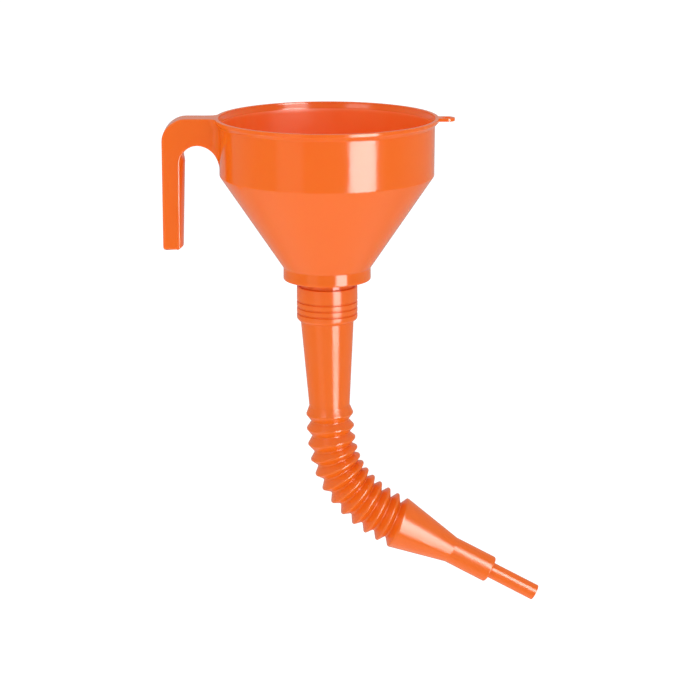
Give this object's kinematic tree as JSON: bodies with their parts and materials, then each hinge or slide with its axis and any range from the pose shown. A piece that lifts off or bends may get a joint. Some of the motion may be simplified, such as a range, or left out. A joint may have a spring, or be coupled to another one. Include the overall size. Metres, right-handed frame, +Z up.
{
  "type": "funnel",
  "caption": "Wide-mouth pouring funnel with a side handle, hanging loop, drop-in gauze strainer and a bendable bellows spout ending in a stepped nozzle.",
  "frame": {"origin": "centre of the mouth, on the rim's top face", "axes": "+Z up along the bowl, handle on -X, hanging loop on +X, spout bends towards +X in the XZ plane"},
  "size_m": [0.283, 0.165, 0.3731],
  "materials": {
    "orange_pe": "glossy moulded polyethylene",
    "strainer_rim": "glossy moulded polyethylene",
    "gauze": "woven brass wire"
  },
  "bodies": {
    "funnel": {"bowl": "orange_pe", "outlet_stub": "orange_pe", "handle": "orange_pe", "hanging_loop": "orange_pe"},
    "strainer": {"strainer_ring": "strainer_rim", "strainer_gauze": "gauze"},
    "spout_neck": {"spout_sleeve": "orange_pe", "spout_tube": "orange_pe"},
    "bellows_01": {"convolution_01": "orange_pe"},
    "bellows_02": {"convolution_02": "orange_pe"},
    "bellows_03": {"convolution_03": "orange_pe"},
    "bellows_04": {"convolution_04": "orange_pe"},
    "bellows_05": {"convolution_05": "orange_pe"},
    "bellows_06": {"convolution_06": "orange_pe"},
    "bellows_07": {"convolution_07": "orange_pe"},
    "bellows_08": {"convolution_08": "orange_pe"},
    "bellows_09": {"convolution_09": "orange_pe"},
    "bellows_10": {"convolution_10": "orange_pe"},
    "bellows_11": {"convolution_11": "orange_pe"},
    "nozzle": {"nozzle_reducer": "orange_pe", "nozzle_tip": "orange_pe"}
  },
  "joints": [
    {"name": "strainer_lift", "type": "slide", "parent": "funnel", "child": "strainer", "axis": [0, 0, 1], "range_m": [0, 0.135]},
    {"name": "spout_turn", "type": "hinge", "parent": "funnel", "child": "spout_neck", "pos_m": [0, 0, -0.14], "axis": [0, 0, 1], "continuous": true},
    {"name": "fold_01", "type": "hinge", "parent": "spout_neck", "child": "bellows_01", "pos_m": [0.00158, 0, -0.21918], "axis": [0, -1, 0], "range_deg": [-0.502, 0.2515]},
    {"name": "fold_02", "type": "hinge", "parent": "bellows_01", "child": "bellows_02", "pos_m": [0.00193, 0, -0.22998], "axis": [0, -1, 0], "range_deg": [-1.5, 0.75]},
    {"name": "fold_03", "type": "hinge", "parent": "bellows_02", "child": "bellows_03", "pos_m": [0.00256, 0, -0.24076], "axis": [0, -1, 0], "range_deg": [-4.01, 2]},
    {"name": "fold_04", "type": "hinge", "parent": "bellows_03", "child": "bellows_04", "pos_m": [0.00394, 0, -0.25147], "axis": [0, -1, 0], "range_deg": [-6.01, 3.01]},
    {"name": "fold_05", "type": "hinge", "parent": "bellows_04", "child": "bellows_05", "pos_m": [0.00615, 0, -0.26076], "axis": [0, -1, 0], "range_deg": [-7.01, 3.51]},
    {"name": "spout_bend", "type": "hinge", "parent": "bellows_05", "child": "bellows_06", "pos_m": [0.00947, 0, -0.26971], "axis": [0, -1, 0], "range_deg": [-8.5, 4.25]},
    {"name": "fold_07", "type": "hinge", "parent": "bellows_06", "child": "bellows_07", "pos_m": [0.01408, 0, -0.27808], "axis": [0, -1, 0], "range_deg": [-8.02, 4.01]},
    {"name": "fold_08", "type": "hinge", "parent": "bellows_07", "child": "bellows_08", "pos_m": [0.0198, 0, -0.28572], "axis": [0, -1, 0], "range_deg": [-6.51, 3.26]},
    {"name": "fold_09", "type": "hinge", "parent": "bellows_08", "child": "bellows_09", "pos_m": [0.02636, 0, -0.29267], "axis": [0, -1, 0], "range_deg": [-6.51, 3.26]},
    {"name": "fold_10", "type": "hinge", "parent": "bellows_09", "child": "bellows_10", "pos_m": [0.03366, 0, -0.29882], "axis": [0, -1, 0], "range_deg": [-5.01, 2.51]},
    {"name": "fold_11", "type": "hinge", "parent": "bellows_10", "child": "bellows_11", "pos_m": [0.04147, 0, -0.30432], "axis": [0, -1, 0], "range_deg": [-4.01, 2]},
    {"name": "fold_12", "type": "hinge", "parent": "bellows_11", "child": "nozzle", "pos_m": [0.04964, 0, -0.30926], "axis": [0, -1, 0], "range_deg": [-3.01, 1.5]}
  ],
  "couplings": [
    {"joint": "fold_01", "follows": "spout_bend", "ratio": 0.058824},
    {"joint": "fold_02", "follows": "spout_bend", "ratio": 0.17647},
    {"joint": "fold_03", "follows": "spout_bend", "ratio": 0.47059},
    {"joint": "fold_04", "follows": "spout_bend", "ratio": 0.70588},
    {"joint": "fold_05", "follows": "spout_bend", "ratio": 0.82353},
    {"joint": "fold_07", "follows": "spout_bend", "ratio": 0.94118},
    {"joint": "fold_08", "follows": "spout_bend", "ratio": 0.76471},
    {"joint": "fold_09", "follows": "spout_bend", "ratio": 0.76471},
    {"joint": "fold_10", "follows": "spout_bend", "ratio": 0.58823},
    {"joint": "fold_11", "follows": "spout_bend", "ratio": 0.47059},
    {"joint": "fold_12", "follows": "spout_bend", "ratio": 0.35294}
  ]
}
